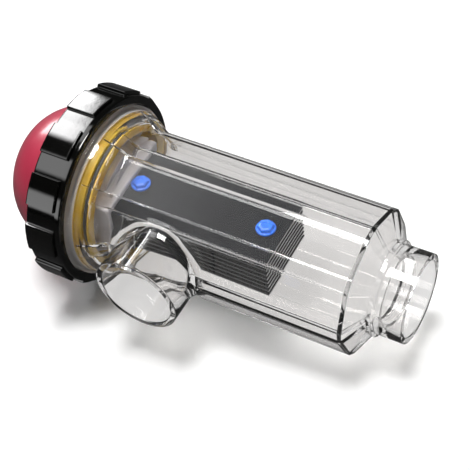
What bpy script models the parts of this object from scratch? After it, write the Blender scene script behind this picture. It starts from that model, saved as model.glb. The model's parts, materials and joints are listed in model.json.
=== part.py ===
"""Salt chlorine generator: clear cell housing, electrode cartridge, dome cap and threaded lock nut.

Frame: metres, +Z up. The origin is the centre of the end port's mouth. +X runs along the cell's axis, out
of the end port. The side port points to -Y, and the electrode plates lie flat, stacked along Z.
"""
import math

import bmesh
import bpy
from mathutils import Matrix, Vector

MM = 0.001                      # every size below is in millimetres, scaled once when a mesh is made
GAP = 0.3                       # air left between neighbouring pieces

# Ports: both are spigots for 63 mm pressure pipe.
PORT_R = 31.5
PORT_BORE_R = 26.8
PORT_THROAT_R = 23.8            # the narrower way from the chamber into the end port
PORT_CHAMFER = 0.8

# Stations along the axis, measured from the end port's mouth.
END_TUBE_X = -20.0              # end tube meets its collar
THROAT_X = -17.0                # step inside the end tube
COLLAR_X = -23.5                # collar meets the cone
SHOULDER_X = -33.0              # cone meets the long body
SIDE_PORT_X = -174.0
BELL_END_X = -211.5             # long body meets the bell
BELL_RIM_X = -236.4
RIM_COLLAR_X = -241.4           # plain ring beside the nut, behind it the thread
RIM_END_X = -251.7              # open end of the housing
BELL_INSIDE_X = -214.5          # the seat's bore has narrowed to the long body's section
NUT_FRONT_X = -238.0
NUT_BACK_X = -265.2

# Long body: an octagon whose corners are cut to narrow facets.
CORNER_R = 51.5                 # radius at the facets' edges
FACET_HALF = math.radians(5.6)  # half the angle that a facet spans
WALL = 4.3
COLLAR_R = 34.0
RIM_R = 63.9
RIM_BORE_R = 57.6
SEAT_R = 54.4                   # bore that the O-ring seals against
SIDE_PORT_REACH = 76.8          # axis to the side port's mouth
RIB = 1.25                      # how far the corner ribs stand out of the bell
RIB_FLANK = math.radians(0.6)
# Bell between its rim and the long body: x, radius between the ribs, share of the rib, share of the octagon.
BELL = ((BELL_RIM_X + 1.0, 62.9, 0.0, 0.0), (BELL_RIM_X + 4.0, 60.6, 0.8, 0.0), (-229.0, 59.1, 1.0, 0.0),
        (-222.0, 56.2, 1.0, 0.25), (-216.0, 53.5, 0.7, 0.75))

# Thread between housing and lock nut: right-handed, trapezoidal.
PITCH = 4.0
THREAD_ROOT_R = 61.4
THREAD_DEPTH = 2.0
THREAD_CLEARANCE = 0.4
THREAD_STEPS = ((0.0, 0), (0.15, 1), (0.41, 1), (0.56, 0))   # share of the pitch, on the crest or not
THREAD_FADE = 1.2

# Lock nut.
LUGS = 12
LUG_R = 73.5
NUT_R = 71.2
NUT_FRONT_R = 70.6
NUT_BORE_R = 64.6
NUT_LIP_BORE_R = 57.3
NUT_LIP = 4.0
LUG_HALF = math.radians(8.8)    # half the angle of a lug at its top
LUG_TURN = math.radians(20.0)   # where the first lug stands when the nut is home
LUG_FLANK = math.radians(0.5)

# Stack under the nut's lip: slip ring, dome flange, head flange.
SLIP_RING = 1.5
DOME_FLANGE = 2.8
HEAD_FLANGE = 3.8
FLANGE_R = 61.0

DOME_BACK_X = NUT_BACK_X + NUT_LIP + SLIP_RING + 2 * GAP       # outer face of the dome's flange
DOME_FRONT_X = DOME_BACK_X + DOME_FLANGE
HEAD_BACK_X = DOME_FRONT_X + GAP
HEAD_FLANGE_X = HEAD_BACK_X + HEAD_FLANGE

# Dome cap: a rounded cap on a short skirt.
DOME_R = 54.0
DOME_HEIGHT = 49.2
DOME_POWER = 2.2                # 2 would be an ellipse
DOME_WALL = 2.6
DOME_STEPS = 7                  # rings from the skirt to the crown
DOME_SIDES = 36

# Electrode head.
PLUG_R = 57.2
NOSE_R = 54.0
NOSE_STEP_X = -235.5
HEAD_FACE_X = -226.0
HUB_R = 45.0                    # hollow front of the head, between this and the hub's boss
HUB_BOSS_R = 30.0
HUB_DEPTH = 10.0
POCKET_R = 2.6                  # blind pockets in the head's front ring
POCKET_DEPTH = 7.0
POCKET_RING_R = 49.6
POCKET_ANGLES = (131.0, 145.0, 49.0, 35.0)
PLINTH_X = -218.0               # end of the block that holds the plates
PLINTH_HALF_Y = 33.5
PLINTH_HALF_Z = 20.5
O_RING_X = -229.5
O_RING_R = 52.4
O_RING_WIRE = 1.5

# Electrode plates.
PLATES = 8
PLATE_PITCH = 4.3
PLATE_THICK = 1.2
PLATE_HALF_Y = 28.0
PACK_HALF_Z = (PLATES - 1) / 2 * PLATE_PITCH + PLATE_THICK / 2
PLATE_START_X = -224.0
PLATE_END_X = -98.0
PLATE_BOLTS_X = (-211.0, -112.0)
BOLT_R = 2.9
BOLT_HOLE_R = 3.25
BOLT_HEAD_R = 7.0
BOLT_HEAD = 4.6
SPACER_R = 5.0

# Electrical feed-throughs, one for each polarity.
STUD_R = 2.0
STUD_Y = 29.05
STUD_BACK_X = -276.0
BUS_BAR = 1.5                   # thickness of the bars that join the plates
BUS_BAR_REACH = 9.0             # how far they stand out of the head
TERMINAL_NUT_R = 4.6
TERMINAL_NUT = 3.2
WASHER_R = 5.6
WASHER = 1.0
EYE_LENGTH = 20.0

# Cable gland, pointing down from a boss under the dome.
GLAND_X = -288.0
GLAND_SEAT_Z = -54.0
GLAND_BORE_R = 4.5
GLAND_NECK_R = 7.0
GLAND_R = 9.0
BOSS_R = 11.0

for old in list(bpy.data.objects):
    bpy.data.objects.remove(old, do_unlink=True)


# ---------------------------------------------------------------- materials
def material(name, colour, roughness, metallic=0.0):
    made = bpy.data.materials.new(name)
    made.use_nodes = True
    shader = made.node_tree.nodes["Principled BSDF"]
    shader.inputs["Base Color"].default_value = (*colour, 1.0)
    shader.inputs["Roughness"].default_value = roughness
    shader.inputs["Metallic"].default_value = metallic
    return made


CLEAR = material("clear_plastic", (0.86, 0.86, 0.84), 0.05)
AMBER = material("amber_plastic", (0.62, 0.38, 0.03), 0.15)
RED = material("red_plastic", (0.46, 0.04, 0.08), 0.35)
BLACK = material("black_plastic", (0.01, 0.01, 0.01), 0.12)
RUBBER = material("black_rubber", (0.02, 0.02, 0.02), 0.6)
TITANIUM = material("coated_titanium", (0.07, 0.07, 0.075), 0.4, 0.8)
BLUE = material("blue_plastic", (0.01, 0.09, 0.55), 0.25)
WHITE = material("white_plastic", (0.7, 0.7, 0.68), 0.4)
STEEL = material("bright_steel", (0.6, 0.6, 0.6), 0.25, 1.0)
BRASS = material("tinned_brass", (0.55, 0.42, 0.18), 0.3, 1.0)


# ---------------------------------------------------------------- mesh tools
def add_object(name, mesh, finish, sharp=30.0):
    """One named object of the model, shaded smooth except at its sharp edges."""
    mesh.shade_smooth()
    mesh.set_sharp_from_angle(angle=math.radians(sharp))
    piece = bpy.data.objects.new(name, mesh)
    bpy.context.scene.collection.objects.link(piece)
    mesh.materials.append(finish)
    return piece


def finish_mesh(bm, name, weld=1e-6):
    bmesh.ops.remove_doubles(bm, verts=bm.verts, dist=weld)
    bmesh.ops.dissolve_degenerate(bm, edges=bm.edges, dist=weld)
    bmesh.ops.recalc_face_normals(bm, faces=bm.faces)
    mesh = bpy.data.meshes.new(name)
    bm.to_mesh(mesh)
    bm.free()
    return mesh


def loft(name, rings, angles, closed=False, thread=None):
    """A solid through rings about the X axis, each a list of (x, r) with one place for each angle.

    thread is None or (first ring, last ring, rises): between those two rings the seam joins rings that
    are one pitch apart, because a ring of a thread ends one pitch from where it starts.
    """
    bm = bmesh.new()
    rows = [[bm.verts.new(Vector((x, r * math.cos(a), r * math.sin(a))) * MM)
             for (x, r), a in zip(ring, angles)] for ring in rings]
    count, lead = len(angles), len(THREAD_STEPS)
    start, stop, rises = thread or (0, 0, True)
    for i in range(len(rows) if closed else len(rows) - 1):
        low, high = rows[i], rows[(i + 1) % len(rows)]
        for j in range(count - 1):
            bm.faces.new((low[j], low[j + 1], high[j + 1], high[j]))
        if not start <= i < stop:
            bm.faces.new((low[-1], low[0], high[0], high[-1]))
        elif i + lead < stop:
            a, b = (i, i + lead) if rises else (i + lead, i)
            bm.faces.new((rows[a][-1], rows[b][0], rows[b + 1][0], rows[a + 1][-1]))
    if not closed:
        bm.faces.new(rows[0])
        bm.faces.new(rows[-1])
    return finish_mesh(bm, name)


def round_ring(x, r, count):
    return [(x, r)] * count


def even_angles(count):
    return [2 * math.pi * i / count for i in range(count)]


def turned(name, profile, count=48, closed=False):
    """A round solid with the profile's (x, r) corners. A closed profile leaves a hole through it."""
    return loft(name, [round_ring(x, r, count) for x, r in profile], even_angles(count), closed)


def box_mesh(name, low, high):
    bm = bmesh.new()
    bmesh.ops.create_cube(bm, size=1.0)
    for vert in bm.verts:
        vert.co = Vector([(low[i] if vert.co[i] < 0 else high[i]) * MM for i in range(3)])
    return finish_mesh(bm, name)


def prism_mesh(name, outline, low, high, axis):
    """An outline of (a, b) corners extruded along one axis. The outline lies across that axis."""
    bm = bmesh.new()
    ends = []
    for level in (low, high):
        row = []
        for a, b in outline:
            place = {"x": (level, a, b), "y": (a, level, b), "z": (a, b, level)}[axis]
            row.append(bm.verts.new(Vector(place) * MM))
        ends.append(row)
    bm.faces.new(ends[0])
    bm.faces.new(ends[1])
    count = len(outline)
    for j in range(count):
        k = (j + 1) % count
        bm.faces.new((ends[0][j], ends[0][k], ends[1][k], ends[1][j]))
    return finish_mesh(bm, name)


def circle_outline(a, b, r, count, turn=0.0):
    return [(a + r * math.cos(t + turn), b + r * math.sin(t + turn)) for t in even_angles(count)]


def cutter(name, mesh):
    piece = bpy.data.objects.new(name, mesh)
    bpy.context.scene.collection.objects.link(piece)
    piece.hide_render = True
    piece.display_type = "WIRE"
    return piece


def combine(piece, tool, how):
    step = piece.modifiers.new(how.lower(), "BOOLEAN")
    step.operation = how
    step.solver = "EXACT"
    step.object = tool


# ---------------------------------------------------------------- shared sections
def octagon_angles():
    """Eight columns for each eighth: a facet with its flanks, then three across a panel."""
    eighth = math.pi / 4
    side = FACET_HALF + RIB_FLANK
    panel = (eighth - 2 * side) / 4
    offsets = [-side, -FACET_HALF, 0.0, FACET_HALF, side] + [side + panel * i for i in (1, 2, 3)]
    return [eighth * i + offset for i in range(8) for offset in offsets]


def octagon_radius(angle, corner):
    """Radius of the cut octagon at an angle, where the corner facets' edges are at this radius."""
    eighth = math.pi / 4
    away = (angle + FACET_HALF) % eighth - FACET_HALF
    if away <= FACET_HALF:
        return corner * math.cos(FACET_HALF) / math.cos(away)
    half = eighth / 2
    return corner * math.cos(half - FACET_HALF) / math.cos(away - half)


def octagon_ring(x, corner, angles, roundness=0.0, round_r=0.0):
    ring = []
    for a in angles:
        r = octagon_radius(a, corner)
        ring.append((x, r + (round_r - r) * roundness))
    return ring


def bell_ring(x, between, rib, share, angles):
    """A ring of the bell, round at its rim and eight-sided at the long body, with the corner ribs on it."""
    ring = []
    eighth = math.pi / 4
    for a in angles:
        away = abs((a + eighth / 2) % eighth - eighth / 2)
        r = between + (octagon_radius(a, CORNER_R) - between) * share
        if away < FACET_HALF + RIB_FLANK / 2:
            r = max(r, (between + RIB * rib) * math.cos(FACET_HALF) / math.cos(away))
        ring.append((x, r))
    return ring


def thread_rings(x_start, x_end, root, depth, base, angles):
    """Rings of a right-handed thread that climb one pitch in a turn and stop at both ends.

    A ridge starts at x = base at angle 0. It stands off the root by the depth, inward when negative.
    """
    rings = []
    for turn in range(math.floor((x_start - base) / PITCH) - 2, math.ceil((x_end - base) / PITCH) + 1):
        for share, crest in THREAD_STEPS:
            ring = []
            for a in angles:
                x = base + PITCH * (turn + share + a / (2 * math.pi))
                x = min(max(x, x_start), x_end)
                fade = min(1.0, (x - x_start) / THREAD_FADE, (x_end - x) / THREAD_FADE)
                ring.append((x, root + depth * crest * fade))
            rings.append(ring)
    return rings


# ---------------------------------------------------------------- housing
def build_housing():
    angles = octagon_angles()
    count = len(angles)
    before = [round_ring(RIM_END_X, THREAD_ROOT_R - 0.6, count)]
    thread = thread_rings(RIM_END_X + 0.6, RIM_COLLAR_X - 0.4, THREAD_ROOT_R, THREAD_DEPTH, RIM_END_X,
                          angles)
    after = [round_ring(RIM_COLLAR_X, THREAD_ROOT_R, count),
             round_ring(RIM_COLLAR_X + 0.1, RIM_R, count),
             round_ring(BELL_RIM_X, RIM_R, count)]
    after += [bell_ring(x, between, rib, share, angles) for x, between, rib, share in BELL]
    after += [octagon_ring(BELL_END_X, CORNER_R, angles),
              octagon_ring(SHOULDER_X, CORNER_R, angles),
              octagon_ring(COLLAR_X, COLLAR_R, angles, 0.6, COLLAR_R),
              round_ring(COLLAR_X + 0.5, COLLAR_R, count),
              round_ring(END_TUBE_X - 0.5, COLLAR_R, count),
              round_ring(END_TUBE_X, PORT_R, count),
              round_ring(-PORT_CHAMFER, PORT_R, count),
              round_ring(0.0, PORT_R - PORT_CHAMFER, count)]
    span = (len(before), len(before) + len(thread) - 1, True)
    skin = loft("housing", before + thread + after, angles, thread=span)
    housing = add_object("housing", skin, CLEAR)

    inner = CORNER_R - WALL - 0.2
    chamber = [round_ring(RIM_END_X - 5.0, RIM_BORE_R, count),
               round_ring(NOSE_STEP_X, RIM_BORE_R, count),
               round_ring(NOSE_STEP_X + 2.4, SEAT_R, count),
               round_ring(HEAD_FACE_X + 0.4, SEAT_R, count),
               octagon_ring(BELL_INSIDE_X, inner, angles),
               octagon_ring(SHOULDER_X - 4.0, inner, angles),
               round_ring(COLLAR_X - 3.5, PORT_THROAT_R, count),
               round_ring(THROAT_X, PORT_THROAT_R, count),
               round_ring(THROAT_X + 0.1, PORT_BORE_R, count),
               round_ring(-PORT_CHAMFER, PORT_BORE_R, count),
               round_ring(0.0, PORT_BORE_R + PORT_CHAMFER, count),
               round_ring(5.0, PORT_BORE_R + PORT_CHAMFER, count)]
    hollow = cutter("cut_chamber", loft("cut_chamber", chamber, angles))

    def across(name, profile):
        """Turned about the side port's own axis, which runs along -Y."""
        mesh = turned(name, profile)
        place = Matrix.Translation(Vector((SIDE_PORT_X, 0, 0)) * MM)
        mesh.transform(place @ Matrix.Rotation(-math.pi / 2, 4, "Z"))
        return cutter(name, mesh)

    root = [(30.0, PORT_R + 6.5), (42.0, PORT_R + 5.0), (47.5, PORT_R + 2.4), (53.0, PORT_R + 0.7)]
    port = across("add_side_port", root + [(58.0, PORT_R), (SIDE_PORT_REACH - PORT_CHAMFER, PORT_R),
                                           (SIDE_PORT_REACH, PORT_R - PORT_CHAMFER)])
    bore = across("cut_side_port", [(20.0, PORT_BORE_R), (SIDE_PORT_REACH - PORT_CHAMFER, PORT_BORE_R),
                                    (SIDE_PORT_REACH, PORT_BORE_R + PORT_CHAMFER),
                                    (SIDE_PORT_REACH + 5.0, PORT_BORE_R + PORT_CHAMFER)])
    combine(housing, port, "UNION")
    combine(housing, hollow, "DIFFERENCE")
    combine(housing, bore, "DIFFERENCE")
    return housing


# ---------------------------------------------------------------- lock nut and slip ring
def nut_angles():
    pitch = 2 * math.pi / LUGS
    side = LUG_HALF + LUG_FLANK
    return [LUG_TURN + pitch * i + offset for i in range(LUGS)
            for offset in (-LUG_HALF, 0.0, LUG_HALF, side, pitch / 2, pitch - side)]


def lug_ring(x, top, floor, angles):
    """A ring that stands at the top radius on the lugs and at the floor radius between them."""
    return [(x, top if i % 6 < 3 else floor) for i in range(len(angles))]


def build_lock_nut():
    angles = nut_angles()
    count = len(angles)
    lip_face = NUT_BACK_X + NUT_LIP
    root = THREAD_ROOT_R + THREAD_DEPTH + THREAD_CLEARANCE
    outside = [round_ring(lip_face, NUT_LIP_BORE_R, count),
               round_ring(NUT_BACK_X + 0.8, NUT_LIP_BORE_R, count),
               round_ring(NUT_BACK_X, NUT_LIP_BORE_R + 0.8, count),
               lug_ring(NUT_BACK_X, LUG_R - 1.2, NUT_R - 1.2, angles),
               lug_ring(NUT_BACK_X + 1.2, LUG_R, NUT_R, angles),
               lug_ring(NUT_FRONT_X - 5.0, LUG_R, NUT_R, angles),
               lug_ring(NUT_FRONT_X - 3.6, NUT_FRONT_R + 0.4, NUT_FRONT_R + 0.4, angles),
               round_ring(NUT_FRONT_X - 0.8, NUT_FRONT_R, count),
               round_ring(NUT_FRONT_X, NUT_FRONT_R - 0.8, count),
               round_ring(NUT_FRONT_X, NUT_BORE_R, count),
               round_ring(NUT_FRONT_X - 4.0, NUT_BORE_R, count)]
    # The nut's ridges run in the housing's grooves, half a pitch from the housing's own ridges.
    thread = thread_rings(lip_face + 6.0, NUT_FRONT_X - 4.4, root, -THREAD_DEPTH,
                          RIM_END_X + PITCH / 2, angles)
    thread.reverse()
    inside = [round_ring(lip_face, root, count)]
    span = (len(outside), len(outside) + len(thread) - 1, False)
    mesh = loft("lock_nut", outside + thread + inside, angles, closed=True, thread=span)
    return add_object("lock_nut", mesh, BLACK)


def build_slip_ring():
    low = NUT_BACK_X + NUT_LIP + GAP
    outer, inner = FLANGE_R + 1.2, NUT_LIP_BORE_R + 0.4
    mesh = turned("slip_ring", [(low, inner), (low, outer), (low + SLIP_RING, outer),
                                (low + SLIP_RING, inner)], closed=True)
    return add_object("slip_ring", mesh, WHITE)


# ---------------------------------------------------------------- dome cap and gland
def dome_point(share, shrink):
    """A point of the cap's outline: share 0 is the skirt's edge and 1 is the crown."""
    angle = share * math.pi / 2
    power = 2.0 / DOME_POWER
    x = NUT_BACK_X - (DOME_HEIGHT - shrink) * math.sin(angle) ** power
    r = (DOME_R - shrink) * math.cos(angle) ** power
    return x, r


def downward(mesh, z):
    """Turns a mesh made about X to point down along the gland's axis, with its origin at this height."""
    mesh.transform(Matrix.Translation(Vector((GLAND_X, 0, z)) * MM) @ Matrix.Rotation(math.pi / 2, 4, "Y"))
    return mesh


def build_dome_cap():
    outer = [dome_point(i / DOME_STEPS, 0.0) for i in range(DOME_STEPS)]
    inner = [dome_point(i / DOME_STEPS, DOME_WALL) for i in range(DOME_STEPS)]
    profile = [(DOME_FRONT_X, FLANGE_R), (DOME_BACK_X, FLANGE_R), (DOME_BACK_X, DOME_R)] + outer
    skin = turned("dome_cap", profile + [(NUT_BACK_X - DOME_HEIGHT, 1.0)], DOME_SIDES)
    cap = add_object("dome_cap", skin, RED)
    cavity = [(DOME_FRONT_X + 5.0, DOME_R - DOME_WALL)] + inner
    crown = (NUT_BACK_X - DOME_HEIGHT + DOME_WALL, 1.0)
    boss = turned("add_boss", [(-25.0, BOSS_R), (0.0, BOSS_R)], 20)
    combine(cap, cutter("add_boss", downward(boss, GLAND_SEAT_Z)), "UNION")
    combine(cap, cutter("cut_dome", turned("cut_dome", cavity + [crown], DOME_SIDES)), "DIFFERENCE")
    hole = turned("cut_gland", [(-30.0, GLAND_NECK_R + GAP), (5.0, GLAND_NECK_R + GAP)], 20)
    combine(cap, cutter("cut_gland", downward(hole, GLAND_SEAT_Z)), "DIFFERENCE")
    return cap


def build_gland():
    """Threaded body through the dome's wall, and a clamping cap outside."""
    collar = GLAND_R - 2.2
    body = turned("gland_body", [(-14.0, GLAND_NECK_R), (GAP, GLAND_NECK_R), (GAP, GLAND_R),
                                 (5.0, GLAND_R), (5.0, collar), (8.0, collar), (8.0, GLAND_BORE_R),
                                 (-14.0, GLAND_BORE_R)], 20, closed=True)
    cap = turned("gland_cap", [(8.0 + GAP, GLAND_BORE_R + 0.5), (8.0 + GAP, GLAND_R - 0.4),
                               (14.0, GLAND_R - 0.4), (17.0, GLAND_R - 2.2),
                               (17.0, GLAND_BORE_R + 0.5)], 20, closed=True)
    add_object("gland_body", downward(body, GLAND_SEAT_Z), BLACK)
    add_object("gland_cap", downward(cap, GLAND_SEAT_Z), BLACK)


# ---------------------------------------------------------------- electrode head
def build_head():
    profile = [(HEAD_BACK_X, 44.0), (HEAD_BACK_X, FLANGE_R), (HEAD_FLANGE_X, FLANGE_R),
               (HEAD_FLANGE_X, PLUG_R), (NOSE_STEP_X - GAP, PLUG_R), (NOSE_STEP_X + 1.8, NOSE_R),
               (O_RING_X - O_RING_WIRE - GAP, NOSE_R),
               (O_RING_X - O_RING_WIRE - GAP, O_RING_R - O_RING_WIRE - GAP),
               (O_RING_X + O_RING_WIRE + GAP, O_RING_R - O_RING_WIRE - GAP),
               (O_RING_X + O_RING_WIRE + GAP, NOSE_R), (HEAD_FACE_X - 0.8, NOSE_R),
               (HEAD_FACE_X, NOSE_R - 0.8), (HEAD_FACE_X, HUB_R), (HEAD_FACE_X - HUB_DEPTH, HUB_R),
               (HEAD_FACE_X - HUB_DEPTH, HUB_BOSS_R), (HEAD_FACE_X - 16.0, 20.0)]
    back = [(HEAD_BACK_X + 8.0, 20.0), (HEAD_BACK_X + 8.0, 43.0)]
    head = add_object("electrode_head", turned("electrode_head", back + profile, 48), AMBER)

    block = box_mesh("add_plinth", (HEAD_FACE_X - 18.0, -PLINTH_HALF_Y, -PLINTH_HALF_Z),
                     (PLINTH_X, PLINTH_HALF_Y, PLINTH_HALF_Z))
    combine(head, cutter("add_plinth", block), "UNION")
    for index, degrees in enumerate(POCKET_ANGLES):
        a = math.radians(degrees)
        outline = circle_outline(POCKET_RING_R * math.cos(a), POCKET_RING_R * math.sin(a), POCKET_R, 12)
        pocket = prism_mesh("pocket", outline, HEAD_FACE_X - POCKET_DEPTH, HEAD_FACE_X + 2.0, "x")
        combine(head, cutter(f"cut_pocket_{index + 1}", pocket), "DIFFERENCE")
    for index in range(PLATES):
        z = plate_height(index)
        half = PLATE_THICK / 2 + GAP
        slot = box_mesh("slot", (PLATE_START_X - GAP, -PLATE_HALF_Y - GAP, z - half),
                        (PLINTH_X + 2.0, PLATE_HALF_Y + GAP, z + half))
        combine(head, cutter(f"cut_slot_{index + 1}", slot), "DIFFERENCE")
    for name, side in (("left", -1), ("right", 1)):
        outline = circle_outline(side * STUD_Y, 0.0, STUD_R + GAP, 16)
        hole = prism_mesh("hole", outline, HEAD_BACK_X - 5.0, PLATE_START_X + 1.0, "x")
        combine(head, cutter(f"cut_stud_{name}", hole), "DIFFERENCE")
        half, tall = BUS_BAR / 2 + GAP, PACK_HALF_Z + GAP
        slot = box_mesh("slot", (PLATE_START_X - GAP, side * STUD_Y - half, -tall),
                        (PLINTH_X + 2.0, side * STUD_Y + half, tall))
        combine(head, cutter(f"cut_bar_{name}", slot), "DIFFERENCE")
    return head


def build_o_ring():
    around = 6
    profile = [(O_RING_X + O_RING_WIRE * math.cos(t), O_RING_R + O_RING_WIRE * math.sin(t))
               for t in even_angles(around)]
    return add_object("o_ring", turned("o_ring", profile, 36, closed=True), RUBBER)


# ---------------------------------------------------------------- plates
def plate_height(index):
    return (index - (PLATES - 1) / 2) * PLATE_PITCH


def build_plates():
    for index in range(PLATES):
        z = plate_height(index)
        half = PLATE_THICK / 2
        mesh = box_mesh("plate", (PLATE_START_X, -PLATE_HALF_Y, z - half),
                        (PLATE_END_X, PLATE_HALF_Y, z + half))
        plate = add_object(f"electrode_plate_{index + 1}", mesh, TITANIUM)
        for side, x in enumerate(PLATE_BOLTS_X):
            hole = prism_mesh("hole", circle_outline(x, 0.0, BOLT_HOLE_R, 12), z - 2.0, z + 2.0, "z")
            combine(plate, cutter(f"cut_plate_{index + 1}_{side + 1}", hole), "DIFFERENCE")


def upright(mesh, x, y, z=0.0):
    """Turns a mesh made about X to stand along +Z at a place."""
    mesh.transform(Matrix.Translation(Vector((x, y, z)) * MM) @ Matrix.Rotation(-math.pi / 2, 4, "Y"))
    return mesh


def build_plate_bolts():
    top = PACK_HALF_Z + GAP
    bottom = -top
    for side, x in enumerate(PLATE_BOLTS_X):
        head = [(bottom - BOLT_HEAD - 1.0, BOLT_R), (top, BOLT_R), (top, BOLT_HEAD_R),
                (top + 1.2, BOLT_HEAD_R), (top + 1.3, BOLT_HEAD_R - 0.6),
                (top + BOLT_HEAD - 1.0, BOLT_HEAD_R - 0.6), (top + BOLT_HEAD, BOLT_HEAD_R - 2.0)]
        mesh = upright(turned("bolt", head, 12), x, 0.0)
        add_object(f"plate_bolt_{side + 1}", mesh, BLUE)
        nut = prism_mesh("nut", circle_outline(x, 0.0, BOLT_HEAD_R, 6), bottom - BOLT_HEAD, bottom, "z")
        piece = add_object(f"plate_bolt_nut_{side + 1}", nut, BLUE)
        hole = prism_mesh("hole", circle_outline(x, 0.0, BOLT_R + GAP, 12),
                          bottom - BOLT_HEAD - 2.0, bottom + 2.0, "z")
        combine(piece, cutter(f"cut_bolt_nut_{side + 1}", hole), "DIFFERENCE")
        for index in range(PLATES - 1):
            low = plate_height(index) + PLATE_THICK / 2 + GAP
            high = plate_height(index + 1) - PLATE_THICK / 2 - GAP
            ring = turned("spacer", [(low, BOLT_HOLE_R), (low, SPACER_R), (high, SPACER_R),
                                     (high, BOLT_HOLE_R)], 12, closed=True)
            add_object(f"plate_spacer_{side + 1}_{index + 1}", upright(ring, x, 0.0), WHITE)


# ---------------------------------------------------------------- terminals
def along(mesh, y, z=0.0):
    mesh.transform(Matrix.Translation(Vector((0.0, y, z)) * MM))
    return mesh


def build_terminals():
    """For each polarity: a bar beside the plates, a stud through the head, washer, cable eye and nut."""
    for name, side in (("cathode", -1), ("anode", 1)):
        y = side * STUD_Y
        stud = turned("stud", [(STUD_BACK_X, STUD_R - 0.5), (STUD_BACK_X + 0.5, STUD_R),
                               (PLATE_START_X - 2 * GAP, STUD_R)], 12)
        add_object(f"{name}_stud", along(stud, y), TITANIUM)
        half = BUS_BAR / 2
        bar = box_mesh("bar", (PLATE_START_X, y - half, -PACK_HALF_Z),
                       (PLINTH_X + BUS_BAR_REACH, y + half, PACK_HALF_Z))
        add_object(f"{name}_bus_bar", bar, TITANIUM)
        seat = HEAD_BACK_X + 8.0 - GAP
        inner = STUD_R + GAP
        washer = turned("washer", [(seat - WASHER, inner), (seat - WASHER, WASHER_R), (seat, WASHER_R),
                                   (seat, inner)], 16, closed=True)
        add_object(f"{name}_washer", along(washer, y), STEEL)
        front = seat - WASHER - GAP
        eye = prism_mesh("eye", eye_outline(y), front - WASHER, front, "x")
        piece = add_object(f"{name}_cable_eye", eye, BRASS)
        hole = prism_mesh("hole", circle_outline(y, 0.0, inner, 16), front - 5.0, front + 5.0, "x")
        combine(piece, cutter(f"cut_{name}_eye", hole), "DIFFERENCE")
        back = front - WASHER - GAP
        nut = prism_mesh("nut", circle_outline(y, 0.0, TERMINAL_NUT_R, 6), back - TERMINAL_NUT, back, "x")
        piece = add_object(f"{name}_terminal_nut", nut, STEEL)
        hole = prism_mesh("hole", circle_outline(y, 0.0, inner, 16), back - 8.0, back + 2.0, "x")
        combine(piece, cutter(f"cut_{name}_nut", hole), "DIFFERENCE")


def eye_outline(y):
    """A round eye about the stud with a flat tongue that points up."""
    tongue = 2.4
    low = math.asin(tongue / WASHER_R)
    turns = 12
    arc = [math.pi / 2 + low + (2 * math.pi - 2 * low) * i / turns for i in range(turns + 1)]
    outline = [(y + WASHER_R * math.cos(t), WASHER_R * math.sin(t)) for t in arc]
    return outline + [(y + tongue, EYE_LENGTH), (y - tongue, EYE_LENGTH)]


build_housing()
build_lock_nut()
build_slip_ring()
build_dome_cap()
build_gland()
build_head()
build_o_ring()
build_plates()
build_plate_bolts()
build_terminals()
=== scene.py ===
import json
import math

import bmesh
import bpy
from mathutils import Matrix, Vector


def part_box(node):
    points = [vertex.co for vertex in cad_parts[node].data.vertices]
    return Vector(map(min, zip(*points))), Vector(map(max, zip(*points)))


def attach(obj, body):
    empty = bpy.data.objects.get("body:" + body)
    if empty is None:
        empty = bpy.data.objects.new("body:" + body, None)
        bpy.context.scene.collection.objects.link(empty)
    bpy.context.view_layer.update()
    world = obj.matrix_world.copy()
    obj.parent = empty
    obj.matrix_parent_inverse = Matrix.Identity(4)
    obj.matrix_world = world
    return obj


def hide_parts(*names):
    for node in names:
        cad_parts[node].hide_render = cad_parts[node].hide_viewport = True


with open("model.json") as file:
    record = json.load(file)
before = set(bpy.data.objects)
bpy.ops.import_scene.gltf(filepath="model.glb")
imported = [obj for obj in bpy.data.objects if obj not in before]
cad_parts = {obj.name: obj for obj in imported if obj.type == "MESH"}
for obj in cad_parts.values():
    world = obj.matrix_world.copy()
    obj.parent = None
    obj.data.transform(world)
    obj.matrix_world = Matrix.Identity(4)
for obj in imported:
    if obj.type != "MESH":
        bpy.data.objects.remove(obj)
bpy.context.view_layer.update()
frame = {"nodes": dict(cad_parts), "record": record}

# The look of the salt chlorine generator: fine meshes and materials around the fixed frame.
# Metres, +X along the cell out of its end port, -Y out of its side port, +Z up.

MM = 0.001
TAU = 2 * math.pi


# ---------------------------------------------------------------- sizes read from the frame
def low(node, axis):
    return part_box(node)[0][axis] / MM


def high(node, axis):
    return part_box(node)[1][axis] / MM


MOUNTS = {mount["name"]: mount for mount in frame["record"]["mounts"]}
SIDE_PORT_X = MOUNTS["side_port_face"]["pos_m"][0] / MM
SIDE_PORT_REACH = -MOUNTS["side_port_face"]["pos_m"][1] / MM
RIM_END_X = low("housing", 0)
NUT_BACK_X, NUT_FRONT_X = low("lock_nut", 0), high("lock_nut", 0)
LUG_R = high("lock_nut", 2)
DOME_CROWN_X, DOME_FRONT_X = low("dome_cap", 0), high("dome_cap", 0)
DOME_FLANGE_R = high("dome_cap", 2)
HEAD_BACK_X, PLINTH_X = low("electrode_head", 0), high("electrode_head", 0)
HEAD_FLANGE_R = high("electrode_head", 2)
RIM_R = high("housing", 2)
O_RING_X = (low("o_ring", 0) + high("o_ring", 0)) / 2

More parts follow.
